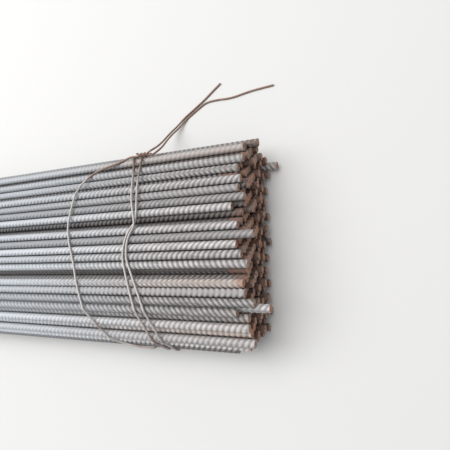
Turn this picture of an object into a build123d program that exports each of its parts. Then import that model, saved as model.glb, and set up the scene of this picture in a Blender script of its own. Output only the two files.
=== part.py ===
from build123d import *
from math import atan2, cos, hypot, pi, radians, sin, tan
import os

os.makedirs("parts", exist_ok=True)

# A tied bundle of straight reinforcing bars, lying on a level floor.
# X runs along the bars, Y across the bundle and Z up. The origin is on the floor,
# under the middle of the bundle. Millimetres throughout.

# Driving dimensions of the bars
bar_diameter = 16.0
bar_length = 6000.0
bar_clearance = 0.6  # left between one bar and the next
near_lean = 57.0  # degrees, how steeply an outer bar lies on the one beneath it, at -Y
far_lean = 60.0

# Driving dimensions of the bundle's section
# Gaps of the lowest layer from -Y: how many in a row, and the extra room in each
floor_gap_runs = ((2, 0.1), (4, 1.2), (5, 0.3), (3, 1.3), (3, 2.0), (2, 1.2))
widening_layers = 4  # layers that each gain one bar, above the lowest
narrowing_layers = 4  # layers that each lose one bar, above the widest
missing_on_ledge = (0, 20)  # places left empty in the layer below the crest
missing_on_crest = (0, 1, 6, 12, 17, 18, 19)  # places left empty in the top layer
wire_valley = 12  # the empty place of the crest where two turns of wire cross

# Driving dimensions of the tie wire
wire_diameter = 4.2
wire_clearance = 0.3  # left between a wire and what it touches
dip_angle = 20.0  # degrees, slope of the lower wire where two turns cross
dip_radius = 12.0
least_tangent = 3.0  # shortest part of a run that a bend round a bar takes up
bend_share = 0.45  # of the shorter run beside it, the most that a bend takes up
twist_turns = 1.5
twist_length = 26.0
steps_per_twist_turn = 6
strand_room = 0.1  # spare room round each strand of a knot

# Places of the ties' knots along the bundle
first_knot_inset = 242.0  # from the bars' +X ends
last_knot_inset = 265.0  # from their other ends
middle_knot_shares = (0.34, -0.287)  # of half the bars' length, from the middle

# How far single bars stand out at the +X end, by layer from the floor and place from -Y
crest_ends = {2: -5, 3: 27, 4: 10, 5: 7, 7: 16, 8: 3, 9: -6, 10: 26, 11: -4,
              13: -16, 14: 9, 15: -3, 16: 1}
ledge_ends = {1: 13, 2: 13, 3: 51, 6: 9, 7: 9, 12: -2, 13: 0, 17: -10, 18: -9, 19: 2}
chosen_ends = {(9, k): v for k, v in crest_ends.items()}
chosen_ends.update({(8, k): v for k, v in ledge_ends.items()})
chosen_ends.update({(7, 0): 19, (7, 1): 13, (5, 0): -21, (4, 0): 6, (1, 19): 44})
end_scatter = 12.0
scatter_steps = (0.61803398875, 0.7548776662)  # from one place to the next and one layer to the next
lower_end_lead = 18.0  # the lower layers stand out this much further on average

bar_radius = bar_diameter / 2
wire_radius = wire_diameter / 2
pitch = bar_diameter + bar_clearance
reach = bar_radius + wire_clearance + wire_radius  # bar axis to wire axis
lift = wire_diameter + wire_clearance  # one wire over another
twist_radius = (wire_radius + wire_clearance / 2) / cos(pi / steps_per_twist_turn) + strand_room


def scatter(place, layer_number):
    """An even, repeatable scatter between -1 and 1."""
    return 2 * ((place * scatter_steps[0] + layer_number * scatter_steps[1]) % 1.0) - 1


def resting_on(left, right):
    """Centre of a bar that lies in the groove between two others."""
    dy, dz = right[0] - left[0], right[1] - left[1]
    span = hypot(dy, dz)
    rise = (pitch**2 - span**2 / 4) ** 0.5
    return ((left[0] + right[0]) / 2 - dz / span * rise, (left[1] + right[1]) / 2 + dy / span * rise)


def beside(bar, side, lean):
    """Centre of an outer bar that leans out over the bar beneath it."""
    return (bar[0] + side * pitch * cos(radians(lean)), bar[1] + pitch * sin(radians(lean)))


# Section of the bundle: every bar's place, layer by layer from the floor
floor_y = [0.0]
for gap_count, room in floor_gap_runs:
    for gap in range(gap_count):
        floor_y.append(floor_y[-1] + pitch + room)
lowest_z = wire_diameter + wire_clearance + bar_radius
layers = [[(y - floor_y[-1] / 2, lowest_z) for y in floor_y]]
for step in range(widening_layers + narrowing_layers):
    below = layers[-1]
    layer = [resting_on(a, b) for a, b in zip(below, below[1:])]
    if step < widening_layers:
        layer = [beside(below[0], -1, near_lean)] + layer + [beside(below[-1], 1, far_lean)]
    layers.append(layer)
belly = layers[widening_layers]
shelf, ledge, crest = layers[-3], layers[-2], layers[-1]
empty_places = {len(layers) - 1: missing_on_ledge, len(layers): missing_on_crest}
crest_places = [k for k in range(len(crest)) if k not in missing_on_crest]
last_ledge_place = max(k for k in range(len(ledge)) if k not in missing_on_ledge)
crest_z = max(crest[k][1] for k in crest_places)


def end_offset(layer_number, place):
    """How far a bar is shifted along the bundle."""
    if (layer_number, place) in chosen_ends:
        return chosen_ends[layer_number, place]
    lead = lower_end_lead * (1 - layer_number / len(layers))
    return lead + end_scatter * scatter(place, layer_number)


# The bars, one node for each layer
for number, layer in enumerate(layers, start=1):
    with BuildPart() as bars:
        for place, (y, z) in enumerate(layer):
            if place in empty_places.get(number, ()):
                continue
            start_x = end_offset(number, place) - bar_length / 2
            with BuildSketch(Plane(origin=(start_x, y, z), x_dir=(0, 1, 0), z_dir=(1, 0, 0))):
                Circle(bar_radius)
            extrude(amount=bar_length)
    bars.part.label = f"bars_layer_{number}"
    export_step(bars.part, f"parts/bars_layer_{number}.step")

# The outer bars that the wires bear on, round the section from the far crest
outer_bars = {
    "far_crest": (crest[crest_places[-1]][0], crest_z),
    "near_crest": (crest[crest_places[0]][0], crest_z),
    "near_shoulder": shelf[0],
    "near_belly": belly[0],
    "near_heel": layers[0][0],
    "far_heel": layers[0][-1],
    "far_belly": belly[-1],
    "far_shoulder": shelf[-1],
    "far_ledge": ledge[last_ledge_place],
}


def outward(a, b):
    """Unit normal of the side from bar a to bar b, away from the bundle."""
    dy, dz = b[0] - a[0], b[1] - a[1]
    span = hypot(dy, dz)
    return (dz / span, -dy / span)


def corner(name, distance):
    """Where the two sides that meet at an outer bar cross, both offset by a distance."""
    names = list(outer_bars)
    k = names.index(name)
    before, bar, after = (outer_bars[names[(k + i) % len(names)]] for i in (-1, 0, 1))
    n1, n2 = outward(before, bar), outward(bar, after)
    share = distance / (1 + n1[0] * n2[0] + n1[1] * n2[1])
    return (bar[0] + share * (n1[0] + n2[0]), bar[1] + share * (n1[1] + n2[1]))


def at(x, name, raised=0.0):
    """A point of a wire where it turns round an outer bar."""
    y, z = corner(name, reach + raised)
    return (x, y, z, reach + raised)


def along(x, first, second, share, raised=0.0):
    """A point of a wire on the flat side between two outer bars."""
    a, b = corner(first, reach + raised), corner(second, reach + raised)
    return (x, a[0] + (b[0] - a[0]) * share, a[1] + (b[1] - a[1]) * share, None)


def over_top(x, share, raised=0.0):
    """A point of a wire on the top of the bundle, from the far crest, 0, to the near one, 1."""
    return along(x, "far_crest", "near_crest", share, raised)


# Middle of the twisted knot, outside the bar at the far shoulder and clear of one turn of wire
shoulder_bar = outer_bars["far_shoulder"]
shoulder_corner = corner("far_shoulder", reach)
knot_direction = atan2(shoulder_corner[1] - shoulder_bar[1], shoulder_corner[0] - shoulder_bar[0])
knot_distance = reach + lift / 2 + wire_clearance / 2 + twist_radius + wire_radius
knot_y = shoulder_bar[0] + knot_distance * cos(knot_direction)
knot_z = shoulder_bar[1] + knot_distance * sin(knot_direction)

# The empty place of the crest, where the lower of two crossing turns dips
valley_far, valley_near = crest[wire_valley + 1], crest[wire_valley - 1]
valley_y = (valley_far[0] + valley_near[0]) / 2
top_z = crest_z + reach
dip_inset = reach * tan(radians(dip_angle / 2))
dip_half_width = (valley_far[0] - valley_near[0]) / 2 - dip_inset
dip_depth = dip_half_width * tan(radians(dip_angle))


def dip(x_far, x_middle, x_near):
    """The lower wire's three points where it passes beneath another in the valley."""
    return [
        (x_far, valley_y + dip_half_width, top_z, reach),
        (x_middle, valley_y, top_z - dip_depth, dip_radius),
        (x_near, valley_y - dip_half_width, top_z, reach),
    ]


def twisted(first_angle):
    """One strand's points through the knot, from its tied end towards its tail."""
    count = round(twist_turns * steps_per_twist_turn)
    points = []
    for k in range(count + 1):
        angle = radians(first_angle + 360 * twist_turns * k / count)
        x = twist_length * k / count
        points.append((x, knot_y + twist_radius * cos(angle), knot_z + twist_radius * sin(angle), None))
    return points


def near_knot(x, y, z):
    """A free point given from the middle of the knot."""
    return (x, knot_y + y, knot_z + z, None)


def on_floor(x, y):
    """A point of a tail that lies on the floor, y outwards from the far side."""
    return (x, corner("far_belly", reach)[0] + y, wire_radius, None)


def under(x_near, x_far):
    """A turn's run beneath the bundle, from the near heel to the far one."""
    return [at(x_near, "near_heel"), at(x_far, "far_heel")]


# Both strands of a knot: the outer one starts a tie and the inner one ends it
outer_strand, inner_strand = twisted(200), twisted(20)
rising_strand = [at(-9, "far_belly"), along(-9, "far_belly", "far_shoulder", 0.4), near_knot(-8, 5.5, -3.5)]

# First tie: one wire with a slack turn and two tight ones, and both tails on the floor
first_tail = [
    on_floor(147, 181), on_floor(127, 165), on_floor(106, 147), on_floor(79, 128), on_floor(51, 109),
    near_knot(36, 106, -103), near_knot(27, 88, -91), near_knot(24, 70, -76), near_knot(27, 51, -56),
    near_knot(33, 33, -33), near_knot(37, 17, -12), near_knot(34, 5, 3),
]
second_tail = [
    near_knot(34, -3, -3), near_knot(42, 5, -8), near_knot(42, 24, -29), near_knot(36, 44, -51),
    near_knot(31, 64, -73), near_knot(33, 83, -90), near_knot(41, 101, -103),
    on_floor(57, 105), on_floor(84, 123), on_floor(109, 139), on_floor(137, 140), on_floor(176, 137),
    on_floor(221, 145), on_floor(277, 148),
]
slack_turn = [
    at(-22, "far_shoulder", lift), at(-38, "far_shoulder"), along(-56, "far_shoulder", "far_ledge", 0.25),
    along(-97, "far_shoulder", "far_ledge", 0.6), at(-117, "far_ledge"),
    along(-138, "far_ledge", "far_crest", 0.45), at(-147, "far_crest"),
    over_top(-158, 0.19), over_top(-161, 0.30), over_top(-154, 0.44), over_top(-139, 0.59),
    over_top(-122, 0.82), at(-101, "near_crest"), along(-78, "near_crest", "near_shoulder", 0.55),
    at(-56, "near_shoulder"), along(-38, "near_shoulder", "near_belly", 0.5),
    along(-12, "near_shoulder", "near_belly", 0.82), at(32, "near_belly"),
]
upper_turn = [
    at(-18, "far_belly"), at(-15, "far_shoulder"), at(-3, "far_ledge"), at(6, "far_crest"),
    over_top(7, 0.12), over_top(13, 0.23), over_top(17, 0.322), over_top(5, 0.398),
    over_top(0, 0.47), over_top(0.5, 0.585), over_top(9, 0.66), over_top(34, 0.875),
    at(49, "near_crest"), at(72, "near_shoulder"), at(89, "near_belly"),
]
lower_turn = [
    at(6, "far_belly"), at(7, "far_shoulder"), at(12, "far_ledge"), at(19, "far_crest"),
    *dip(20, 15, 6), over_top(-2, 0.41), over_top(-8, 0.50), over_top(-7.5, 0.60),
    over_top(9, 0.81), at(28, "near_crest"), at(51, "near_shoulder"), at(67, "near_belly"),
]
first_tie = [
    *first_tail, *reversed(outer_strand), *slack_turn, *under(50, -18), *upper_turn,
    *under(102, 6), *lower_turn, *under(76, -9), *rising_strand, *inner_strand, *second_tail,
]

# The other ties: one wire with two tight turns, and short tails
plain_tie = [
    near_knot(51, 28, -44), near_knot(44, 18, -16), near_knot(34, 5, 3), *reversed(outer_strand),
    near_knot(-9, -4, -1), at(-12, "far_ledge"), at(-6, "far_crest"), over_top(-3, 0.1),
    *dip(-3, -8, -13), over_top(-15, 0.42), over_top(-16, 0.7), at(-18, "near_crest"),
    at(-20, "near_shoulder"), at(-20, "near_belly"), *under(-20, -22),
    at(-22, "far_belly"), at(-21, "far_shoulder"), at(-18, "far_ledge"), at(-14, "far_crest"),
    over_top(-13, 0.1), over_top(-1, 0.36), over_top(4, 0.6), at(12, "near_crest"),
    at(14, "near_shoulder"), at(14, "near_belly"),
    *under(14, -9), *rising_strand, *inner_strand,
    near_knot(34, -3, -3), near_knot(46, 5, 2), near_knot(57, 18, -18), near_knot(62, 25, -42),
]


def bend_radii(points):
    """Radius at each inner point: round its bar where it hugs one, else as large as its runs allow."""
    radii = []
    for p, q, r in zip(points, points[1:], points[2:]):
        run_in = Vector(*q[:3]) - Vector(*p[:3])
        run_out = Vector(*r[:3]) - Vector(*q[:3])
        turn = radians(run_in.get_angle(run_out))
        tangent = bend_share * min(run_in.length, run_out.length)
        if q[3]:
            flat_in, flat_out = Vector(0, run_in.Y, run_in.Z), Vector(0, run_out.Y, run_out.Z)
            flat_turn = radians(flat_in.get_angle(flat_out))
            stretch = min(run_in.length / flat_in.length, run_out.length / flat_out.length)
            tangent = min(tangent, max(least_tangent, q[3] * tan(flat_turn / 2) * stretch))
        radii.append(tangent / tan(turn / 2))
    return radii


def placed(points, knot_x, hand):
    """A tie's points at its place in the bundle, mirrored where hand is -1."""
    return [(knot_x + hand * x, y, z, hug) for x, y, z, hug in points]


half_length = bar_length / 2
ties = [placed(first_tie, half_length - first_knot_inset, 1)]
ties += [placed(plain_tie, share * half_length, 1) for share in middle_knot_shares]
ties += [placed(plain_tie, last_knot_inset - half_length, -1)]

for number, points in enumerate(ties, start=1):
    radii = bend_radii(points)
    with BuildPart() as tie:
        with BuildLine() as route:
            FilletPolyline(*[point[:3] for point in points], radius=radii)
        with BuildSketch(Plane(origin=route.line @ 0, z_dir=route.line % 0)):
            Circle(wire_radius)
        sweep()
    tie.part.label = f"tie_wire_{number}"
    export_step(tie.part, f"parts/tie_wire_{number}.step")
    wire_length = sum(edge.length for edge in route.line.edges())
    expected = pi * wire_radius**2 * wire_length
    print(tie.part.label, "length", round(wire_length), "tightest bend", round(min(radii), 1),
          "volume against section times length", round(tie.part.volume / expected, 5))
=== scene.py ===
"""Looks of the tied bundle of ribbed reinforcing bars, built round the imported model."""

import logging
import math
import random
from dataclasses import dataclass, field
from enum import Enum
from typing import ClassVar

import bpy
import numpy as np
from mathutils import Matrix, Vector


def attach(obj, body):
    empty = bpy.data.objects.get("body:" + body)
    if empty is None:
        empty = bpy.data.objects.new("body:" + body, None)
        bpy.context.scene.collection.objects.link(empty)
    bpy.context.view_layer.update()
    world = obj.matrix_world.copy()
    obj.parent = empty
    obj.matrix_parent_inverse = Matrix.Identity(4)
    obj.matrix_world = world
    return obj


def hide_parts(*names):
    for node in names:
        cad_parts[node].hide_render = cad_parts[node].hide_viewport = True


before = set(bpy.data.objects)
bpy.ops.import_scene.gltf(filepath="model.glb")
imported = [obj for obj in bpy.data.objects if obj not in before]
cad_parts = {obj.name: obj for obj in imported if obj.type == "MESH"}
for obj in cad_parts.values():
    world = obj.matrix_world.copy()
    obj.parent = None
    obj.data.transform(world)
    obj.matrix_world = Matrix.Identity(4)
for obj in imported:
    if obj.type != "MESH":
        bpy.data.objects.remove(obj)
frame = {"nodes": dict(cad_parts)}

LOG = logging.getLogger("rebar_bundle")
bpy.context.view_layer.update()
MM = 0.001
Colour = tuple[float, float, float, float]
Point = tuple[float, float, float]
Span = tuple[float, float]
# What the mark named plain says of a point: ribs modelled, ribs left to the finish, or a cut end
RIBBED, SMOOTH, CUT = 0.0, 1.0, 2.0
# The rib coordinate on a cut end, where no rib runs
NO_RIB = -9.0


class Hand(Enum):
    """Which way a bar's crosswise ribs slant."""

    RIGHT = 1
    LEFT = -1


class Reach(Enum):
    """How much of a bar can be seen from outside the bundle."""

    OPEN = "open"
    BURIED = "buried"


@dataclass(frozen=True)
class RibPattern:
    """The rolled relief of a bar, in metres.

    Two rows of crescent ribs lie between two ribs that run along the bar.
    """

    core_radius: float = 7.05 * MM
    rib_height: float = 1.1 * MM
    long_rib_height: float = 0.85 * MM
    pitch: float = 11.2 * MM
    foot_width: float = 8.2 * MM
    crown_width: float = 4.8 * MM
    slant: float = 0.62
    fullness: float = 2.0

    @property
    def sweep(self) -> float:
        """How far a rib runs along the bar, from its middle to either end."""
        return self.slant * self.core_radius * math.pi / 2

    def stations(self) -> list[tuple[float, float]]:
        """Places within one pitch where the relief changes.

        Returns:
            Pairs of a place, as a share of the pitch, and the rib's height there, 0 or 1.
        """
        flank = (self.foot_width - self.crown_width) / 2
        places = (0.0, flank, flank + self.crown_width, self.foot_width)
        return [(p / self.pitch, h) for p, h in zip(places, (0, 1, 1, 0))]

    def envelope(self, angle: np.ndarray) -> np.ndarray:
        """Height of the crescent ribs round the bar, from 0 at the long ribs to 1.

        Args:
            angle: Angle round the bar from one of its long ribs, in radians.

        Returns:
            The share of the full rib height at each angle.
        """
        return np.minimum(1.0, self.fullness * np.abs(np.sin(angle)))

    def shear(self, angle: np.ndarray) -> np.ndarray:
        """How far along the bar a rib lies at each angle round it.

        Args:
            angle: Angle round the bar from one of its long ribs, in radians.

        Returns:
            The offset along the bar in metres.
        """
        share = (angle / (2 * math.pi)) % 1.0
        return self.sweep * (1 - 4 * np.abs(share - 0.5))


@dataclass
class Bar:
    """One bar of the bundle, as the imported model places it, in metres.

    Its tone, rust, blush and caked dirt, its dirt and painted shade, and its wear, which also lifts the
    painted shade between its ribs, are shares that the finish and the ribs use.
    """

    sight_lines: ClassVar[int] = 49
    sight_width: ClassVar[float] = 1.075
    y: float
    z: float
    x_low: float
    x_high: float
    radius: float
    turn: float = 0.0
    hand: Hand = Hand.RIGHT
    phase: float = 0.0
    tone: float = 0.5
    dirt_and_shade: float = 0.0
    rust: float = 0.0
    lean: float = 1.0
    worn_and_unshaded: float = 0.3
    blush: float = 0.0
    caked: float = 0.0
    reach: Reach = Reach.BURIED

    def openness(self, centres: np.ndarray, lowest: float) -> float:
        """How much of the outside a bar sees, across the bundle.

        Args:
            centres: The middle, y and z, of every bar of the bundle.
            lowest: Angle above the level, in degrees, from which it looks out on both sides.

        Returns:
            The share of straight lines from its middle that no other bar stops.
        """
        start = math.radians(lowest)
        angle = np.linspace(start, math.pi - start, self.sight_lines)[:, None]
        away = centres - np.array([self.y, self.z])
        away = away[np.hypot(away[:, 0], away[:, 1]) > self.radius]
        ahead = np.cos(angle) * away[:, 0] + np.sin(angle) * away[:, 1]
        aside = np.abs(np.sin(angle) * away[:, 0] - np.cos(angle) * away[:, 1])
        stopped = (ahead > 0) & (aside < self.radius * self.sight_width)
        return 1.0 - float(stopped.any(axis=1).mean())


class Slant(Enum):
    """How a bar's upper ribs lie as the camera sees them.

    Each holds the bar's turn in degrees, its ribs' hand and how far they lean, where 1 is the
    pattern's own slant.
    """

    RISING = (180.0, Hand.RIGHT, 1.1)
    LEANING = (180.0, Hand.RIGHT, 0.65)
    STEEP = (180.0, Hand.RIGHT, 0.25)
    FALLING = (0.0, Hand.RIGHT, 1.35)
    SINKING = (0.0, Hand.RIGHT, 0.7)
    ARROW = (92.0, Hand.LEFT, 0.8)
    UPRIGHT = (0.0, Hand.RIGHT, 0.3)
    BARBED = (100.0, Hand.RIGHT, 0.8)
    NOTCHED = (80.0, Hand.RIGHT, 0.8)


@dataclass(frozen=True)
class RollMark:
    """What sets one bar in sight apart: its ribs' slant, their wear, which also lifts the painted shade
    between them, its tone, which also paints light and shade, and what lies on it: blush, rust, caked
    dirt, and dirt with painted shade.
    """

    slant: Slant
    worn_and_unshaded: float = 0.25
    tone: float = 0.5
    blush: float = 0.18
    dirt_and_shade: float = 0.1
    rust: float = 0.25
    caked: float = 0.0


@dataclass
class BundleSection:
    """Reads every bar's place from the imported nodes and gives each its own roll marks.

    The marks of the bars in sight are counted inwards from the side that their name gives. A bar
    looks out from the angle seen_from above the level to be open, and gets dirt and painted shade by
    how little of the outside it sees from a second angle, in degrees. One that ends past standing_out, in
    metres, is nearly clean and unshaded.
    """

    near_side: ClassVar[dict[str, tuple[RollMark, ...]]] = {
        "bars_layer_9": (
            RollMark(Slant.FALLING, worn_and_unshaded=0.05, tone=-0.4, dirt_and_shade=0.15),
            RollMark(Slant.FALLING, worn_and_unshaded=0.1, tone=-0.5, dirt_and_shade=0.15),
            RollMark(Slant.ARROW, worn_and_unshaded=0.7, tone=-0.05),
            RollMark(Slant.NOTCHED, worn_and_unshaded=0.0, tone=0.6, blush=0.65, rust=0.5),
            RollMark(Slant.SINKING, tone=0.2),
            RollMark(Slant.LEANING, worn_and_unshaded=0.1, tone=0.15),
            RollMark(Slant.RISING, worn_and_unshaded=0.35, tone=0.8),
            RollMark(Slant.RISING, worn_and_unshaded=0.85, tone=-0.9),
            RollMark(Slant.RISING, worn_and_unshaded=0.4, tone=0.35),
            RollMark(Slant.LEANING, worn_and_unshaded=0.45),
            RollMark(Slant.RISING, worn_and_unshaded=0.5, tone=-0.8),
            RollMark(Slant.SINKING, worn_and_unshaded=0.85, tone=-0.65),
            RollMark(Slant.RISING, worn_and_unshaded=0.35, tone=0.1),
        ),
        "bars_layer_8": (
            RollMark(Slant.LEANING, worn_and_unshaded=0.45, tone=0.4, dirt_and_shade=0.0),
            RollMark(Slant.SINKING, worn_and_unshaded=0.1, tone=0.3, dirt_and_shade=0.45),
        ),
        "bars_layer_7": (
            RollMark(Slant.LEANING, worn_and_unshaded=0.6, tone=-0.1, dirt_and_shade=0.0),
            RollMark(Slant.STEEP, worn_and_unshaded=0.05, tone=0.8, blush=1.0, dirt_and_shade=0.15),
        ),
        "bars_layer_6": (RollMark(Slant.ARROW, tone=1.2, dirt_and_shade=0.0),),
    }
    far_side: ClassVar[dict[str, tuple[RollMark, ...]]] = {
        "bars_layer_8": (
            RollMark(Slant.UPRIGHT, worn_and_unshaded=0.6, tone=-0.4, blush=0.1, dirt_and_shade=0.05),
            RollMark(Slant.BARBED, worn_and_unshaded=0.2, tone=0.2, dirt_and_shade=0.15),
        ),
        "bars_layer_7": (RollMark(Slant.LEANING, worn_and_unshaded=1.0, tone=0.0, blush=1.0, dirt_and_shade=0.2, caked=0.6),),
    }

    nodes: dict[str, bpy.types.Object]
    seed: int = 16
    merge_decimals: int = 7
    seen_from: float = -28.0
    dirt_and_shade_from: float = 5.0
    clean_and_unshaded_openness: float = 0.78
    dirt_and_shade_range: float = 0.45
    least_rust: float = 0.35
    rust_range: Span = (0.35, 1.0)
    worn_and_unshaded_range: Span = (0.1, 0.6)
    blush_range: Span = (-0.8, 0.8)
    turn_scatter: float = 12.0
    standing_out: float = 3.034
    out_dirt_and_shade: float = 0.2
    out_rust: float = 0.15
    dice: random.Random = field(init=False)
    layers: dict[str, list[Bar]] = field(init=False)

    def __post_init__(self) -> None:
        """Finds the bars of every layer and marks them."""
        self.dice = random.Random(self.seed)
        names = sorted(n for n in self.nodes if n.startswith("bars_layer_"))
        self.layers = {name: self._read(self.nodes[name]) for name in names}
        everyone = [bar for bars in self.layers.values() for bar in bars]
        centres = np.array([(bar.y, bar.z) for bar in everyone])
        for bar in everyone:
            self._mark(bar, centres)
        self._turn_shown()

    def _mark(self, bar: Bar, centres: np.ndarray) -> None:
        """Gives a bar chance marks, and dirt with painted shade, and rust, by how little of the outside
        it sees.

        Args:
            bar: The bar.
            centres: The middle, y and z, of every bar of the bundle.
        """
        bar.turn = self.dice.uniform(0, 2 * math.pi)
        bar.hand = self.dice.choice(list(Hand))
        bar.phase = self.dice.random()
        bar.tone = self.dice.random()
        bar.worn_and_unshaded = self.dice.uniform(*self.worn_and_unshaded_range)
        bar.blush = max(0.0, self.dice.uniform(*self.blush_range))
        if bar.openness(centres, self.seen_from) > 0:
            bar.reach = Reach.OPEN
        # Bars that see little of the outside are painted darker: dirt, and painted shade where the bundle
        # hides the sky
        shaded = self.clean_and_unshaded_openness - bar.openness(centres, self.dirt_and_shade_from)
        bar.dirt_and_shade = min(1.0, max(0.0, shaded / self.dirt_and_shade_range))
        share = self.least_rust + (1 - self.least_rust) * bar.dirt_and_shade
        bar.rust = share * self.dice.uniform(*self.rust_range)
        if bar.x_high > self.standing_out:
            bar.dirt_and_shade, bar.rust = self.out_dirt_and_shade, self.out_rust

    def _turn_shown(self) -> None:
        """Gives the bars in sight their own marks, counted from either side of the bundle."""
        for side, step in ((self.near_side, 1), (self.far_side, -1)):
            for name, marks in side.items():
                for bar, mark in zip(self.layers[name][::step], marks):
                    turn, bar.hand, bar.lean = mark.slant.value
                    scatter = self.dice.uniform(-self.turn_scatter, self.turn_scatter)
                    bar.turn = math.radians(turn + scatter)
                    bar.worn_and_unshaded, bar.tone, bar.blush = mark.worn_and_unshaded, mark.tone, mark.blush
                    bar.dirt_and_shade, bar.rust, bar.caked = mark.dirt_and_shade, mark.rust, mark.caked

    def _read(self, node: bpy.types.Object) -> list[Bar]:
        """Splits a node's mesh into its bars and measures each.

        Args:
            node: A packed layer of bars.

        Returns:
            The layer's bars in order of their place across the bundle.
        """
        mesh = node.data
        points = np.empty(len(mesh.vertices) * 3)
        mesh.vertices.foreach_get("co", points)
        merged = points.reshape(-1, 3).round(self.merge_decimals)
        places, same = np.unique(merged, axis=0, return_inverse=True)
        ends = np.empty(len(mesh.edges) * 2, int)
        mesh.edges.foreach_get("vertices", ends)
        ends = same.ravel()[ends].reshape(-1, 2)
        # Places that edges join take the lowest label among them, so that each bar ends with one
        label = np.arange(len(places))
        changed = True
        while changed:
            before = label.copy()
            lowest = label[ends].min(axis=1)
            np.minimum.at(label, ends[:, 0], lowest)
            np.minimum.at(label, ends[:, 1], lowest)
            changed = bool((label != before).any())
        bars = [self._measure(places[label == mark]) for mark in np.unique(label)]
        return sorted(bars, key=lambda bar: bar.y)

    @staticmethod
    def _measure(points: np.ndarray) -> Bar:
        """Fits a circle to a bar's section.

        Args:
            points: The bar's vertices.

        Returns:
            The bar.
        """
        y, z = points[:, 1], points[:, 2]
        design = np.column_stack([2 * y, 2 * z, np.ones(len(y))])
        fit = np.linalg.lstsq(design, y * y + z * z, rcond=None)[0]
        radius = math.sqrt(fit[2] + fit[0] ** 2 + fit[1] ** 2)
        return Bar(fit[0], fit[1], points[:, 0].min(), points[:, 0].max(), radius)


@dataclass
class MeshStore:
    """Collects the vertices, faces, rib coordinates and marks of one piece."""

    points: list[np.ndarray] = field(default_factory=list)
    faces: list[np.ndarray] = field(default_factory=list)
    coords: list[np.ndarray] = field(default_factory=list)
    marks: dict[str, list[np.ndarray]] = field(default_factory=dict)
    flat: list[np.ndarray] = field(default_factory=list)
    count: int = 0

    def add(self, points: np.ndarray, faces: np.ndarray, coords: np.ndarray,
            bar: Bar, plain: np.ndarray, flat: bool) -> None:
        """Adds one surface of a bar.

        Args:
            points: Its vertices, n by 3.
            faces: Its quads as indices into points; a triangle repeats its last corner.
            coords: Rib coordinates of each face's corners, m by 4 by 2.
            bar: The bar.
            plain: For each vertex, RIBBED, SMOOTH or CUT.
            flat: Whether its faces are shaded flat.
        """
        marks = {
            "tone": np.full(len(points), bar.tone),
            "dirt_and_shade": np.full(len(points), bar.dirt_and_shade),
            "rust": np.full(len(points), bar.rust),
            "worn_and_unshaded": np.full(len(points), bar.worn_and_unshaded),
            "blush": np.full(len(points), bar.blush),
            "inset": np.minimum(bar.x_high - points[:, 0], points[:, 0] - bar.x_low),
            "plain": plain,
        }
        self.points.append(points)
        self.faces.append(faces + self.count)
        self.coords.append(coords)
        for name, values in marks.items():
            self.marks.setdefault(name, []).append(values)
        self.flat.append(np.full(len(faces), flat))
        self.count += len(points)

    def make(self, name: str) -> bpy.types.Object:
        """Turns the store into an object.

        Args:
            name: The piece's name.

        Returns:
            The new object, linked to the scene.
        """
        points = np.concatenate(self.points)
        faces = np.concatenate(self.faces)
        coords = np.concatenate(self.coords)
        flat = np.concatenate(self.flat)
        is_triangle = faces[:, 3] == faces[:, 2]
        sizes = np.where(is_triangle, 3, 4)
        keep = np.ones(faces.shape, bool)
        keep[is_triangle, 3] = False
        corners = faces[keep]
        mesh = bpy.data.meshes.new(name)
        mesh.vertices.add(len(points))
        mesh.vertices.foreach_set("co", points.ravel())
        mesh.loops.add(len(corners))
        mesh.loops.foreach_set("vertex_index", corners)
        mesh.polygons.add(len(faces))
        mesh.polygons.foreach_set("loop_start", np.concatenate([[0], np.cumsum(sizes)[:-1]]))
        mesh.polygons.foreach_set("use_smooth", ~flat)
        layer = mesh.uv_layers.new(name="ribs")
        layer.data.foreach_set("uv", coords[keep].ravel())
        for title, parts in self.marks.items():
            attribute = mesh.attributes.new(title, "FLOAT", "POINT")
            attribute.data.foreach_set("value", np.concatenate(parts))
        mesh.update(calc_edges=True)
        mesh.validate()
        piece = bpy.data.objects.new(name, mesh)
        bpy.context.scene.collection.objects.link(piece)
        return piece


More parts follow.
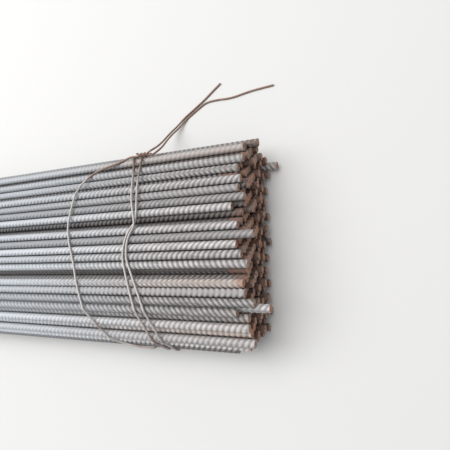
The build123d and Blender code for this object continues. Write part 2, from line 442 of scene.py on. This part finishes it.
@dataclass
class BarMaker:
    """Builds a bar's ribbed surface with its two cut ends, in metres.

    The ribbed lengths are those of the modelled ribs: at the +X end of an open and of a buried
    bar, and at every bar's other end.
    """

    pattern: RibPattern = field(default_factory=RibPattern)
    open_columns: int = 20
    buried_columns: int = 12
    open_ribbed: float = 0.90
    buried_ribbed: float = 0.055
    far_ribbed: float = 0.055
    plain_radius: float = 7.6 * MM
    plain_step: float = 0.60
    plain_margin: float = 2.0 * MM
    cut_tilt: float = 0.07
    cut_round: float = 0.7 * MM
    cut_bulge: float = 0.8
    cut_face: float = 0.90

    def build(self, bar: Bar, store: MeshStore, dice: random.Random) -> None:
        """Adds a bar to a piece.

        Args:
            bar: The bar.
            store: Where its surface goes.
            dice: Seeded chance for the cuts.
        """
        is_open = bar.reach is Reach.OPEN
        columns = self.open_columns if is_open else self.buried_columns
        ribbed = self.open_ribbed if is_open else self.buried_ribbed
        angle = np.arange(columns) * 2 * math.pi / columns
        places, heights, plain = self._stations(bar, ribbed)
        shear = bar.hand.value * bar.lean * self.pattern.shear(angle)
        x = places[:, None] + shear[None, :]
        radius = self._radii(bar, heights, plain, angle)
        world = angle + bar.turn
        ends = [self._cut(bar, world, side, dice) for side in (1, -1)]
        self._surface(bar, store, x, radius, world, ends, plain)

    def _stations(self, bar: Bar, ribbed: float) -> tuple[np.ndarray, np.ndarray, np.ndarray]:
        """Places along a bar where its section changes, from its +X end.

        Args:
            bar: The bar.
            ribbed: Length of the modelled ribs at the +X end.

        Returns:
            The places, the rib height there, 0 or 1, and RIBBED or SMOOTH.
        """
        pattern = self.pattern
        sweep = pattern.sweep * bar.lean
        first = math.ceil((bar.x_high + sweep) / pattern.pitch - bar.phase)
        last = math.floor((bar.x_low - sweep) / pattern.pitch - bar.phase)
        near_stop = math.floor((bar.x_high - ribbed) / pattern.pitch - bar.phase)
        far_start = math.ceil((bar.x_low + self.far_ribbed) / pattern.pitch - bar.phase)
        rows: list[tuple[float, float, float]] = []
        for start, stop in ((first, near_stop), (far_start, last)):
            for number in range(start, stop - 1, -1):
                for share, height in reversed(pattern.stations()):
                    rows.append(((number + share + bar.phase) * pattern.pitch, height, RIBBED))
            if stop == near_stop:
                rows += self._plain_rows(rows[-1][0], (far_start + 1 + bar.phase) * pattern.pitch)
        table = np.array(rows)
        return table[:, 0], table[:, 1], table[:, 2]

    def _plain_rows(self, start: float, stop: float) -> list[tuple[float, float, float]]:
        """Stations of the stretch whose ribs are left to the finish.

        Args:
            start: Where it begins, the higher place.
            stop: Where it ends.

        Returns:
            Rows of place, height 0 and SMOOTH.
        """
        count = max(2, math.ceil((start - stop) / self.plain_step))
        places = np.linspace(start - self.plain_margin, stop + self.plain_margin, count)
        return [(float(p), 0.0, SMOOTH) for p in places]

    def _radii(self, bar: Bar, heights: np.ndarray, plain: np.ndarray, angle: np.ndarray) -> np.ndarray:
        """Radius at each station and angle, with the long ribs at angles 0 and half a turn.

        Args:
            bar: The bar, whose caked dirt fills the hollows between its ribs.
            heights: For each station, the share of the rib's height there.
            plain: For each station, RIBBED or SMOOTH.
            angle: Angle round the bar from one of its long ribs.

        Returns:
            The radius, one row for each station and one column for each angle.
        """
        pattern = self.pattern
        filled = bar.caked * pattern.rib_height
        base = np.where(plain > RIBBED, self.plain_radius, pattern.core_radius + filled)[:, None]
        rise = heights[:, None] * (pattern.rib_height - filled)
        radius = base + rise * pattern.envelope(angle)[None, :]
        for column in (0, len(angle) // 2):
            radius[:, column] = pattern.core_radius + pattern.long_rib_height
        return radius

    def _cut(self, bar: Bar, world: np.ndarray, side: int, dice: random.Random) -> np.ndarray:
        """Where each line along the bar meets its slightly slanted cut.

        Args:
            bar: The bar.
            world: Angle of each line round the bar.
            side: 1 for the +X end and -1 for the other.
            dice: Seeded chance.

        Returns:
            The place along X for each line.
        """
        tilt = self.cut_tilt * dice.random()
        toward = dice.uniform(0, 2 * math.pi)
        set_back = self.cut_round + tilt * bar.radius * (1 - np.cos(world - toward))
        tip = bar.x_high if side > 0 else bar.x_low
        return tip - side * set_back

    def _surface(self, bar: Bar, store: MeshStore, x: np.ndarray, radius: np.ndarray,
                 world: np.ndarray, ends: list[np.ndarray], plain: np.ndarray) -> None:
        """Trims the stations at both cuts and adds the side and the end faces.

        Args:
            bar: The bar.
            store: Where the surface goes.
            x: Place of each station and line, falling along the first axis.
            radius: Radius of the same.
            world: Angle of each line.
            ends: The cut at the +X end and at the other, for each line.
            plain: For each station, RIBBED or SMOOTH.
        """
        rows, columns = x.shape
        shear = bar.hand.value * bar.lean * self.pattern.shear(world - bar.turn)
        coordinate = (x - shear[None, :]) / self.pattern.pitch - bar.phase
        x, radius, coordinate = x.copy(), radius.copy(), coordinate.copy()
        lines = np.arange(columns)
        first = np.argmax(x <= ends[0][None, :], axis=0) - 1
        last = rows - np.argmax((x >= ends[1][None, :])[::-1], axis=0)
        # On each line the first station beyond a cut is drawn back onto it
        for row, inner, end in ((first, first + 1, ends[0]), (last, last - 1, ends[1])):
            share = (end - x[inner, lines]) / (x[row, lines] - x[inner, lines])
            for values in (radius, coordinate):
                change = values[row, lines] - values[inner, lines]
                values[row, lines] = values[inner, lines] + share * change
            x[row, lines] = end
        number = np.arange(rows)[:, None]
        anchor = np.clip(number, first[None, :], last[None, :])
        index = anchor * columns + lines[None, :]
        points = self._place(bar, x, radius, world)
        self._add_side(bar, store, points, index, coordinate, plain)
        for row, side in ((first, 1), (last, -1)):
            rim = points.reshape(rows, columns, 3)[row, lines]
            self._add_end(bar, store, rim, side)

    @staticmethod
    def _place(bar: Bar, x: np.ndarray, radius: np.ndarray, world: np.ndarray) -> np.ndarray:
        """Places the vertices of the side.

        Args:
            bar: The bar.
            x: Place of each station and line along the bundle.
            radius: Radius of the same.
            world: Angle of each line.

        Returns:
            The vertices in world space, one station after another, n by 3.
        """
        y = bar.y + radius * np.cos(world)[None, :]
        z = bar.z + radius * np.sin(world)[None, :]
        return np.stack([x, y, z], axis=-1).reshape(-1, 3)

    def _add_side(self, bar: Bar, store: MeshStore, points: np.ndarray, index: np.ndarray,
                  coordinate: np.ndarray, plain: np.ndarray) -> None:
        """Adds a bar's side, with triangles where a cut crosses a face.

        Args:
            bar: The bar.
            store: Where the side goes.
            points: Every station's vertices.
            index: The vertex that each station and line uses.
            coordinate: The rib coordinate of each station and line.
            plain: For each station, RIBBED or SMOOTH.
        """
        rows, columns = index.shape
        after = (np.arange(columns) + 1) % columns
        a, b = index[:-1], index[:-1][:, after]
        d, c = index[1:], index[1:][:, after]
        faces = np.stack([a, d, c, b], axis=-1).reshape(-1, 4)
        v = np.broadcast_to(np.arange(columns) / columns, (rows - 1, columns))
        used = coordinate.ravel()[index]
        ua, ub, ud, uc = used[:-1], used[:-1][:, after], used[1:], used[1:][:, after]
        step = 1 / columns
        coords = np.stack([np.stack([ua, v], -1), np.stack([ud, v], -1),
                           np.stack([uc, v + step], -1), np.stack([ub, v + step], -1)], axis=2)
        coords = coords.reshape(-1, 4, 2)
        # A slanted cut leaves some quads with three corners, and others with nothing
        same_left = faces[:, 0] == faces[:, 1]
        same_right = faces[:, 2] == faces[:, 3]
        keep = ~(same_left & same_right)
        faces, coords, same_left = faces[keep], coords[keep], same_left[keep]
        turned = faces[same_left][:, [2, 3, 0, 0]]
        turned_coords = coords[same_left][:, [2, 3, 0, 0]]
        faces[same_left], coords[same_left] = turned, turned_coords
        used_points, compact = np.unique(faces, return_inverse=True)
        station_plain = np.repeat(plain, columns)[used_points]
        store.add(points[used_points], compact.reshape(faces.shape), coords, bar, station_plain, False)

    def _add_end(self, bar: Bar, store: MeshStore, rim: np.ndarray, side: int) -> None:
        """Adds a cut end: a rounded edge and a face.

        Args:
            bar: The bar.
            store: Where the end goes.
            rim: The last vertices of the side.
            side: 1 for the +X end and -1 for the other.
        """
        columns = len(rim)
        centre = rim.mean(axis=0)
        inset = centre + (rim - centre) * self.cut_face
        inset[:, 0] += side * self.cut_round * self.cut_bulge
        middle = inset.mean(axis=0)[None, :]
        points = np.concatenate([rim, inset, middle])
        ring = np.arange(columns)
        after = (ring + 1) % columns
        edge = np.stack([ring, after, after + columns, ring + columns], axis=1)
        face = np.stack([ring + columns, after + columns, np.full(columns, 2 * columns)], axis=1)
        face = np.concatenate([face, face[:, 2:]], axis=1)
        faces = np.concatenate([edge, face])
        if side < 0:
            faces = np.concatenate([edge[:, ::-1], face[:, [1, 0, 2, 2]]])
        coords = np.full((len(faces), 4, 2), NO_RIB)
        store.add(points, faces, coords, bar, np.full(len(points), CUT), True)


@dataclass(frozen=True)
class Grain:
    """The grain of a noise, to a metre along the bars and across them, with its finer levels."""

    along: float
    across: float
    levels: float = 4.0
    roughness: float = 0.55


class Graph:
    """Writes the nodes of one material."""

    def __init__(self, name: str) -> None:
        """Starts a material with a shader and an output.

        Args:
            name: The material's name.
        """
        self.material = bpy.data.materials.new(name)
        self.material.use_nodes = True
        self.tree = self.material.node_tree
        self.tree.nodes.clear()
        output = self.tree.nodes.new("ShaderNodeOutputMaterial")
        self.shader = self.tree.nodes.new("ShaderNodeBsdfPrincipled")
        self.tree.links.new(self.shader.outputs[0], output.inputs["Surface"])

    def node(self, kind: str, **settings: object) -> bpy.types.Node:
        """Adds a node.

        Args:
            kind: Blender's name for its type.
            settings: What to set on it, by name.

        Returns:
            The node.
        """
        made = self.tree.nodes.new(kind)
        for key, value in settings.items():
            setattr(made, key, value)
        return made

    def feed(self, socket: bpy.types.NodeSocket, value: object) -> None:
        """Links or sets an input.

        Args:
            socket: The input.
            value: The socket that feeds it, or its value.
        """
        if isinstance(value, bpy.types.NodeSocket):
            self.tree.links.new(value, socket)
        else:
            socket.default_value = value

    def math(self, operation: str, *values: object) -> bpy.types.NodeSocket:
        """Adds a sum, product or the like.

        Args:
            operation: Blender's name for it.
            values: Its inputs, sockets or numbers.

        Returns:
            The result's socket.
        """
        made = self.node("ShaderNodeMath", operation=operation)
        for socket, value in zip(made.inputs, values):
            self.feed(socket, value)
        return made.outputs[0]

    def product(self, first: object, second: object) -> bpy.types.NodeSocket:
        """Multiplies two inputs."""
        return self.math("MULTIPLY", first, second)

    def rest(self, share: object) -> bpy.types.NodeSocket:
        """Takes a share from 1."""
        return self.math("SUBTRACT", 1.0, share)

    def swing(self, noise: object, size: float) -> bpy.types.NodeSocket:
        """Centres noise, which lies round 0.5, on 0 and gives it a size."""
        return self.product(self.math("SUBTRACT", noise, 0.5), size)

    def step(self, value: object, low: float, high: float) -> bpy.types.NodeSocket:
        """Adds a soft step.

        Args:
            value: What it steps over.
            low: Where it leaves 0.
            high: Where it reaches 1.

        Returns:
            The step's socket.
        """
        made = self.node("ShaderNodeMapRange", interpolation_type="SMOOTHSTEP")
        for key, number in (("Value", value), ("From Min", low), ("From Max", high)):
            self.feed(made.inputs[key], number)
        return made.outputs[0]

    def noise(self, place: object, grain: Grain) -> bpy.types.NodeSocket:
        """Adds noise.

        Args:
            place: The place that it varies over.
            grain: Its grain.

        Returns:
            The noise's socket, from 0 to 1.
        """
        stretched = self.node("ShaderNodeVectorMath", operation="MULTIPLY")
        self.feed(stretched.inputs[0], place)
        stretched.inputs[1].default_value = (grain.along, grain.across, grain.across)
        made = self.node("ShaderNodeTexNoise")
        settings = {"Vector": stretched.outputs[0], "Scale": 1.0,
                    "Detail": grain.levels, "Roughness": grain.roughness}
        for key, value in settings.items():
            self.feed(made.inputs[key], value)
        return made.outputs["Fac"]

    def parts(self, place: object) -> list[bpy.types.NodeSocket]:
        """Splits a place.

        Args:
            place: The place.

        Returns:
            The sockets of its x, y and z.
        """
        made = self.node("ShaderNodeSeparateXYZ")
        self.feed(made.inputs[0], place)
        return list(made.outputs)

    def mix(self, share: object, first: object, second: object) -> bpy.types.NodeSocket:
        """Mixes two colours.

        Args:
            share: The second colour's share.
            first: The first colour.
            second: The second colour.

        Returns:
            The mixed colour's socket.
        """
        made = self.node("ShaderNodeMix", data_type="RGBA")
        for socket, value in ((made.inputs[0], share), (made.inputs[6], first), (made.inputs[7], second)):
            self.feed(socket, value)
        return made.outputs[2]

    def attribute(self, name: str) -> bpy.types.NodeSocket:
        """Reads a number that the mesh carries."""
        return self.node("ShaderNodeAttribute", attribute_name=name).outputs["Fac"]


@dataclass(frozen=True)
class RolledSteel:
    """Mill scale on the bars, with a painted highlight on the rib crests, dirt and painted shade between
    the ribs, and rust at the ends.

    Lengths are in metres. A span holds where a soft step begins and where it ends.
    """

    pattern: RibPattern
    # The crest colour is a painted highlight on the rib crests, partly bright worn steel; the land colour
    # is painted shade in the hollows between the ribs
    crest: Colour = (0.59, 0.56, 0.55, 1)
    shaded_land: Colour = (0.16, 0.155, 0.15, 1)
    scale: Colour = (0.40, 0.385, 0.38, 1)
    # A painted bluish haze of light over the bars far from the end
    hazy_light: Colour = (0.55, 0.595, 0.64, 1)
    pink: Colour = (0.50, 0.39, 0.325, 1)
    # Near black: dirt, and painted shade on bars that the rest of the bundle hides from the sky
    dirt_and_shade: Colour = (0.045, 0.037, 0.033, 1)
    rust: Colour = (0.46, 0.205, 0.115, 1)
    brown: Colour = (0.37, 0.24, 0.18, 1)
    dark_rust: Colour = (0.165, 0.098, 0.076, 1)
    wear_grain: Grain = Grain(40.0, 160.0, 3.0)
    wear_span: Span = (0.1, 0.7)
    patch_grain: Grain = Grain(7.0, 30.0)
    hazy_light_span: Span = (2.35, 2.95)
    hazy_light_share: float = 0.62
    blush_span: Span = (2.5, 3.0)
    blush_patches: Span = (0.25, 0.6)
    blush_share: float = 0.7
    dirt_and_shade_base: float = 0.96
    rubbed_and_lit_share: float = 0.2
    darkest: float = 0.85
    tone_range: float = 0.3
    cut_span: Span = (1.4, 1.8)
    speck_grain: Grain = Grain(260.0, 260.0)
    speck_span: Span = (0.36, 0.62)
    ruddy_tones: Span = (0.45, 0.75)
    damp_and_shade_span: Span = (0.15, 0.5)
    rust_reach: Span = (0.01, 0.05)
    rust_wander: float = 0.08
    rust_flecks: float = 0.8
    rust_span: Span = (0.3, 0.62)
    smoothest: float = 0.48
    wear_rough: float = 0.2
    rust_rough: float = 0.35
    metal: float = 0.10
    crown_share: float = 0.8
    foot_share: float = 1.05
    scale_grain: Grain = Grain(900.0, 900.0, 3.0)
    scale_depth: float = 0.12 * MM
    bump_strength: float = 0.8

    def make(self) -> bpy.types.Material:
        """Writes the material.

        Returns:
            The finish for every bar.
        """
        g = Graph("rolled_steel")
        place = g.node("ShaderNodeTexCoord").outputs["Object"]
        along = g.parts(place)[0]
        plain = g.attribute("plain")
        relief = self._relief(g)
        wear = g.noise(place, self.wear_grain)
        patches = g.noise(place, self.patch_grain)
        specks = g.noise(place, self.speck_grain)
        bloom = g.product(g.attribute("blush"), g.step(patches, *self.blush_patches))
        blush = g.product(g.step(along, *self.blush_span), bloom)
        # Dirt and painted shade lie mostly between the ribs, so the crests are painted lighter
        lying_dirt_and_shade = g.math("SUBTRACT", self.dirt_and_shade_base, g.product(relief, self.rubbed_and_lit_share))
        soiled_and_shaded = g.product(g.attribute("dirt_and_shade"), lying_dirt_and_shade)
        base = self._scaled(g, along, relief, wear)
        base = g.mix(g.product(blush, self.blush_share), base, self.pink)
        base = g.mix(soiled_and_shaded, base, self.dirt_and_shade)
        shade = g.node("ShaderNodeHueSaturation")
        g.feed(shade.inputs["Color"], base)
        # Each bar's tone scales its brightness: a tone of its own, and for the bars in sight also painted
        # light and shade
        lift = g.product(g.attribute("tone"), self.tone_range)
        g.feed(shade.inputs["Value"], g.math("ADD", lift, self.darkest))
        rusty = g.math("MAXIMUM", g.step(plain, *self.cut_span), self._rusty(g, patches, specks))
        colour = g.mix(rusty, shade.outputs[0], self._rust_colour(g, plain, specks))
        g.feed(g.shader.inputs["Base Color"], colour)
        rough = g.math("ADD", g.product(wear, self.wear_rough), self.smoothest)
        rough = g.math("ADD", rough, g.product(rusty, self.rust_rough))
        g.feed(g.shader.inputs["Roughness"], rough)
        dull = g.math("MAXIMUM", g.math("MAXIMUM", blush, rusty), soiled_and_shaded)
        g.feed(g.shader.inputs["Metallic"], g.product(g.rest(dull), self.metal))
        self._bump(g, place, relief, plain)
        return g.material

    def _scaled(self, g: Graph, along: object, relief: object, wear: object) -> bpy.types.NodeSocket:
        """Colours the mill scale: painted shade between the ribs, lifted where the bar is worn, a painted
        highlight on the ribs, and a painted bluish haze of light far from the end.

        Args:
            g: The material's graph.
            along: The place along the bars.
            relief: The ribs' height at each point.
            wear: The noise of the wear.

        Returns:
            The colour's socket.
        """
        # The land between the ribs is painted shade, lifted towards the scale colour where the bar is
        # worn; the crests get a painted highlight
        shaded_land = g.mix(g.attribute("worn_and_unshaded"), self.shaded_land, self.scale)
        base = g.mix(g.product(relief, g.step(wear, *self.wear_span)), shaded_land, self.crest)
        # Far from the end a bluish haze of painted light is mixed in
        far_off = g.rest(g.step(along, *self.hazy_light_span))
        return g.mix(g.product(far_off, self.hazy_light_share), base, self.hazy_light)

    def _rust_colour(self, g: Graph, plain: object, specks: object) -> bpy.types.NodeSocket:
        """Colours the rust: red or brown by the bar's tone, and dark on the side of a bar with much dirt
        and painted shade.

        Args:
            g: The material's graph.
            plain: RIBBED, SMOOTH or CUT at each point.
            specks: The noise of the rust's dark specks.

        Returns:
            The colour's socket.
        """
        ruddy = g.mix(g.step(g.attribute("tone"), *self.ruddy_tones), self.brown, self.rust)
        on_side = g.step(plain, *self.cut_span[::-1])
        # Rust on the side of a bar with much dirt and painted shade is painted darker
        damp_and_shade = g.product(g.step(g.attribute("dirt_and_shade"), *self.damp_and_shade_span), on_side)
        ruddy = g.mix(damp_and_shade, ruddy, self.dark_rust)
        return g.mix(g.step(specks, *self.speck_span), self.dark_rust, ruddy)

    def _rusty(self, g: Graph, patches: object, specks: object) -> bpy.types.NodeSocket:
        """Says how rusty each point is by its distance from the bar's end.

        Args:
            g: The material's graph.
            patches: The noise that the rust's edge wanders by.
            specks: The noise of its specks.

        Returns:
            The rust's socket, from 0 to 1.
        """
        inset = g.math("ADD", g.attribute("inset"), g.swing(patches, self.rust_wander))
        close = g.rest(g.step(inset, *self.rust_reach))
        spread = g.product(close, g.attribute("rust"))
        return g.step(g.math("ADD", spread, g.swing(specks, self.rust_flecks)), *self.rust_span)

    def _relief(self, g: Graph) -> bpy.types.NodeSocket:
        """Reads the crosswise ribs' height from the rib coordinates.

        Args:
            g: The material's graph.

        Returns:
            The height's socket, from 0 to 1.
        """
        pattern = self.pattern
        along, round_bar, _ = g.parts(g.node("ShaderNodeUVMap", uv_map="ribs").outputs[0])
        middle = pattern.foot_width / pattern.pitch / 2
        crown = pattern.crown_width / pattern.pitch / 2
        off = g.math("ABSOLUTE", g.math("SUBTRACT", g.math("FRACT", along), middle))
        pulse = g.rest(g.step(off, crown * self.crown_share, middle * self.foot_share))
        wave = g.math("ABSOLUTE", g.math("SINE", g.product(round_bar, 2 * math.pi)))
        return g.product(pulse, g.math("MINIMUM", 1.0, g.product(wave, pattern.fullness)))

    def _bump(self, g: Graph, place: object, relief: object, plain: object) -> None:
        """Adds scale grain everywhere, and the ribs where they aren't modelled.

        Args:
            g: The material's graph.
            place: The place on the bundle.
            relief: The ribs' height at each point, from 0 to 1.
            plain: RIBBED, SMOOTH or CUT at each point.
        """
        grain = g.product(g.noise(place, self.scale_grain), self.scale_depth)
        unmade = g.product(relief, g.step(plain, RIBBED, SMOOTH))
        ribs = g.product(unmade, self.pattern.rib_height)
        bump = g.node("ShaderNodeBump")
        bump.inputs["Distance"].default_value = 1.0
        bump.inputs["Strength"].default_value = self.bump_strength
        g.feed(bump.inputs["Height"], g.math("ADD", grain, ribs))
        g.feed(g.shader.inputs["Normal"], bump.outputs[0])


@dataclass(frozen=True)
class AnnealedWire:
    """Dull tan wire with rust on it, rustiest at the knots, with less rust towards the crest: rubbed wire
    and a painted highlight.

    Lengths are in metres. A span holds where a soft step begins and where it ends: the crest's
    one up the bundle, and the knots' one across it.
    """

    bright: Colour = (0.45, 0.42, 0.40, 1)
    rust: Colour = (0.22, 0.135, 0.10, 1)
    patch_grain: Grain = Grain(28.0, 28.0)
    patch_span: Span = (0.5, 0.74)
    fleck_grain: Grain = Grain(420.0, 420.0, 3.0)
    fleck_span: Span = (0.58, 0.78)
    weathered: float = 0.1
    crest_span: Span = (0.105, 0.136)
    rubbed_and_highlit: float = 0.23
    knot_span: Span = (0.04, 0.17)
    knotted: float = 0.2
    smoothest: float = 0.40
    fleck_rough: float = 0.3
    metal: float = 0.3
    bump_depth: float = 0.2 * MM

    def make(self) -> bpy.types.Material:
        """Writes the material.

        Returns:
            The finish for every tie.
        """
        g = Graph("annealed_wire")
        place = g.node("ShaderNodeTexCoord").outputs["Object"]
        _, across, height = g.parts(place)
        # Less rust towards the top of the bundle: rubbed wire, and a painted highlight
        rubbed_and_highlit = g.product(g.step(height, *self.crest_span), self.rubbed_and_highlit)
        knotted = g.product(g.step(across, *self.knot_span), self.knotted)
        weathered = g.math("ADD", g.noise(place, self.patch_grain), self.weathered)
        leaning = g.math("SUBTRACT", g.math("ADD", weathered, knotted), rubbed_and_highlit)
        flecks = g.noise(place, self.fleck_grain)
        share = g.math("MAXIMUM", g.step(leaning, *self.patch_span), g.step(flecks, *self.fleck_span))
        g.feed(g.shader.inputs["Base Color"], g.mix(share, self.bright, self.rust))
        rough = g.math("ADD", g.product(flecks, self.fleck_rough), self.smoothest)
        g.feed(g.shader.inputs["Roughness"], rough)
        g.shader.inputs["Metallic"].default_value = self.metal
        bump = g.node("ShaderNodeBump")
        bump.inputs["Distance"].default_value = self.bump_depth
        g.feed(bump.inputs["Height"], flecks)
        g.feed(g.shader.inputs["Normal"], bump.outputs[0])
        return g.material


@dataclass
class BarLayer:
    """One layer of bars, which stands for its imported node."""

    node: str
    bars: list[Bar]
    maker: BarMaker

    def build(self, finish: bpy.types.Material, dice: random.Random) -> bpy.types.Object:
        """Makes the layer's ribbed bars.

        Args:
            finish: The bars' material.
            dice: Seeded chance for the cuts.

        Returns:
            The layer's piece.
        """
        store = MeshStore()
        for bar in self.bars:
            self.maker.build(bar, store, dice)
        piece = store.make(self.node.replace("bars_layer", "ribbed_bars"))
        piece.data.materials.append(finish)
        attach(piece, "root")
        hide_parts(self.node)
        return piece


@dataclass
class TieWire:
    """One tie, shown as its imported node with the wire's finish."""

    node: str

    def dress(self, finish: bpy.types.Material) -> bpy.types.Object:
        """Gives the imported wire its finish.

        Args:
            finish: The wire's material.

        Returns:
            The node's object.
        """
        piece = frame["nodes"][self.node]
        for slot in piece.material_slots:
            slot.link = "OBJECT"
            slot.material = finish
        return piece


@dataclass(frozen=True)
class PhotoCamera:
    """The camera at the photograph's place, in metres, degrees and pixels."""

    place: Point = (3.2131, -0.0824, 0.7203)
    aim: Point = (2.9732, 0.0235, 0.134)
    roll: float = 67.666
    focal_px: float = 353.0
    frame_px: int = 450
    sensor_mm: float = 36.0
    nearest: float = 0.02

    def make(self) -> bpy.types.Object:
        """Creates the camera and makes it the scene's.

        Returns:
            The camera's object.
        """
        data = bpy.data.cameras.new("photo_camera")
        data.sensor_fit = "HORIZONTAL"
        data.sensor_width = self.sensor_mm
        data.lens = self.focal_px / self.frame_px * self.sensor_mm
        data.clip_start = self.nearest
        camera = bpy.data.objects.new("photo_camera", data)
        place = Vector(self.place)
        forward = (Vector(self.aim) - place).normalized()
        level = forward.cross(Vector((0, 0, 1))).normalized()
        above = level.cross(forward)
        roll = math.radians(self.roll)
        up = above * math.cos(roll) + level * math.sin(roll)
        right = forward.cross(up)
        turn = Matrix((right, up, -forward)).transposed()
        camera.matrix_world = Matrix.Translation(place) @ turn.to_4x4()
        bpy.context.scene.collection.objects.link(camera)
        bpy.context.scene.camera = camera
        return camera


@dataclass(frozen=True)
class Studio:
    """A plain pale floor and soft light from above, in metres and watts."""

    floor_size: float = 60.0
    floor_colour: Colour = (0.62, 0.61, 0.59, 1)
    floor_roughness: float = 0.9
    sky_colour: Colour = (0.93, 0.96, 1.0, 1)
    sky_strength: float = 0.6
    lamp_power: float = 208.0
    lamp_size: float = 4.0
    key_place: Point = (1.7, 1.3, 4.6)
    key_aim: Point = (2.6, 0.0, 0.0)
    fill_place: Point = (-2.4, 0.6, 4.6)
    fill_aim: Point = (-2.0, 0.0, 0.0)

    def make(self) -> None:
        """Makes the floor, the sky and a lamp over each half of the bundle."""
        self._floor()
        self._sky()
        self._lamp("key_lamp", self.key_place, self.key_aim)
        self._lamp("fill_lamp", self.fill_place, self.fill_aim)

    def _floor(self) -> None:
        """Lays the floor under the bundle."""
        half = self.floor_size / 2
        corners = [(-half, -half, 0), (half, -half, 0), (half, half, 0), (-half, half, 0)]
        mesh = bpy.data.meshes.new("floor")
        mesh.from_pydata(corners, [], [(0, 1, 2, 3)])
        floor = bpy.data.objects.new("floor", mesh)
        bpy.context.scene.collection.objects.link(floor)
        g = Graph("pale_floor")
        g.shader.inputs["Base Color"].default_value = self.floor_colour
        g.shader.inputs["Roughness"].default_value = self.floor_roughness
        mesh.materials.append(g.material)

    def _sky(self) -> None:
        """Sets an even sky."""
        world = bpy.data.worlds.new("even_sky")
        world.use_nodes = True
        sky = world.node_tree.nodes["Background"]
        sky.inputs["Color"].default_value = self.sky_colour
        sky.inputs["Strength"].default_value = self.sky_strength
        bpy.context.scene.world = world

    def _lamp(self, name: str, place: Point, aim: Point) -> None:
        """Hangs a square soft lamp.

        Args:
            name: The lamp's name.
            place: Where it hangs.
            aim: The point that it faces.
        """
        data = bpy.data.lights.new(name, "AREA")
        data.shape = "SQUARE"
        data.size = self.lamp_size
        data.energy = self.lamp_power
        lamp = bpy.data.objects.new(name, data)
        turn = (Vector(aim) - Vector(place)).to_track_quat("-Z", "Y").to_matrix().to_4x4()
        lamp.matrix_world = Matrix.Translation(Vector(place)) @ turn
        bpy.context.scene.collection.objects.link(lamp)


def main() -> None:
    """Builds the stage, the bars and the ties, and reports each piece."""
    logging.basicConfig(level=logging.INFO, format="%(message)s")
    bpy.context.scene.view_settings.view_transform = "Standard"
    PhotoCamera().make()
    Studio().make()
    section = BundleSection(frame["nodes"])
    maker = BarMaker()
    steel = RolledSteel(maker.pattern).make()
    total = 0
    for node, bars in section.layers.items():
        piece = BarLayer(node, bars, maker).build(steel, section.dice)
        triangles = sum(len(p.vertices) - 2 for p in piece.data.polygons)
        total += triangles
        in_view = sum(bar.reach is Reach.OPEN for bar in bars)
        LOG.info("%s: %d bars, %d open, %d triangles", piece.name, len(bars), in_view, triangles)
    wire = AnnealedWire().make()
    for node in sorted(n for n in frame["nodes"] if n.startswith("tie_wire_")):
        LOG.info("%s: dressed", TieWire(node).dress(wire).name)
    LOG.info("triangles added: %d", total)


if __name__ == "__main__":
    main()
